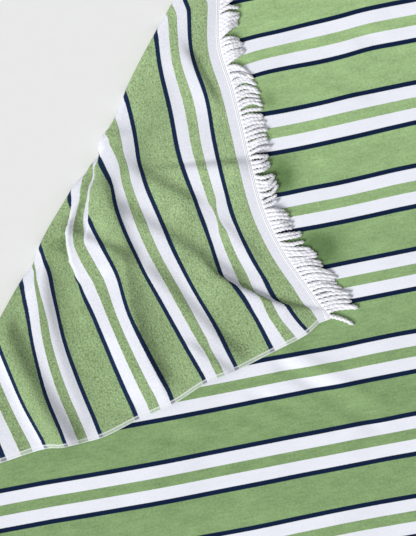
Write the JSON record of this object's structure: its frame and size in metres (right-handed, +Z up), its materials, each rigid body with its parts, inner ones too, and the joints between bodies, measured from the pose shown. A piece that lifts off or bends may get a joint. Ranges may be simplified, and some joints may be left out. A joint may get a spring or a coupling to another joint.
{
  "type": "beach towel",
  "caption": "Large striped velour beach towel laid flat, one corner folded over to its terry side, with a twisted-cord fringe on both ends.",
  "frame": {"origin": "centre of the bounding box, on the surface that the towel lies on", "axes": "+X across the towel along its stripes, away from the folded-over side; +Y along the towel towards the end whose corner is folded over; +Z up, out of the velour face"},
  "size_m": [0.9004, 1.8287, 0.0237],
  "materials": {
    "striped_cotton": "cut velour face and looped terry back, yarn-dyed stripes",
    "fringe_cotton": "white twisted cotton cord on a stitched tape"
  },
  "bodies": {
    "root": {"towel": "striped_cotton", "fringe_folded_end": "fringe_cotton", "fringe_far_end": "fringe_cotton"}
  },
  "joints": []
}
